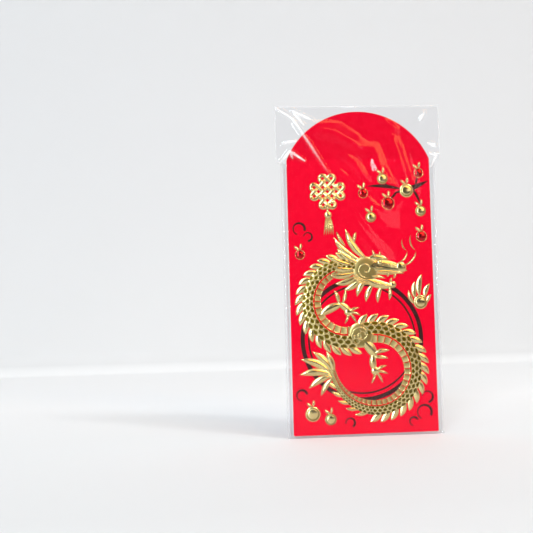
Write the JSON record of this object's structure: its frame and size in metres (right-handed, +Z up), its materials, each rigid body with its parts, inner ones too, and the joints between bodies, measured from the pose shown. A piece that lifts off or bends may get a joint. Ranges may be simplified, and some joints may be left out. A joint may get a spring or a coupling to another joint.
{
  "type": "red envelope",
  "caption": "Red card gift envelope with a round-topped flap and a gold embossed dragon front, held in a clear film sleeve with a fold-over lip.",
  "frame": {"origin": "bottom centre of the sleeve, where it stands", "axes": "+Z up along the envelope, the printed front faces -Y"},
  "size_m": [0.104, 0.0032, 0.205],
  "materials": {
    "red_card": "coated card with a soft sheen",
    "gold_foil": "embossed metallic foil on card",
    "bronze_foil": "flat dark metallic foil on card",
    "clear_film": "clear glossy film",
    "glue": "dried paper glue"
  },
  "bodies": {
    "sleeve": {"sleeve_front_film": "clear_film", "sleeve_back_film": "clear_film", "sleeve_floor": "clear_film", "sleeve_left_side": "clear_film", "sleeve_right_side": "clear_film", "bottom_weld": "clear_film", "left_weld": "clear_film", "right_weld": "clear_film"},
    "envelope": {"front_panel": "red_card", "left_side_fold": "red_card", "right_side_fold": "red_card", "left_wing": "red_card", "right_wing": "red_card", "bottom_fold": "red_card", "bottom_flap": "red_card", "centre_seam_glue": "glue", "bottom_flap_glue": "glue", "dragon_head": "gold_foil", "dragon_horns": "gold_foil", "dragon_mane": "gold_foil", "dragon_whiskers": "gold_foil", "dragon_hind_leg": "gold_foil", "dragon_front_leg": "gold_foil", "dragon_front_body": "gold_foil", "dragon_hind_body": "gold_foil", "dragon_tail_tuft": "gold_foil", "dragon_back_fins": "gold_foil", "flaming_pearl": "gold_foil", "pearl_flames": "gold_foil", "lucky_knot": "gold_foil", "knot_tassel": "gold_foil", "gold_fruits": "gold_foil", "red_fruit_rims": "gold_foil", "fruit_leaves": "gold_foil", "red_fruits": "red_card", "bronze_moon_ring": "bronze_foil", "bronze_branch": "bronze_foil", "bronze_scrolls": "bronze_foil"},
    "flap": {"top_flap": "red_card"},
    "lip": {"lip_film": "clear_film"}
  },
  "joints": [
    {"name": "envelope_slide", "type": "slide", "parent": "sleeve", "child": "envelope", "axis": [0, 0, 1], "range_m": [0, 0.21]},
    {"name": "flap_fold", "type": "hinge", "parent": "envelope", "child": "flap", "pos_m": [0, 0.0009, 0.1715], "axis": [-1, 0, 0], "range_deg": [0, 178]},
    {"name": "lip_fold", "type": "hinge", "parent": "sleeve", "child": "lip", "pos_m": [0, 0.0009, 0.1715], "axis": [-1, 0, 0], "range_deg": [0, 178]}
  ],
  "couplings": [
    {"joint": "lip_fold", "follows": "flap_fold", "ratio": 1}
  ]
}
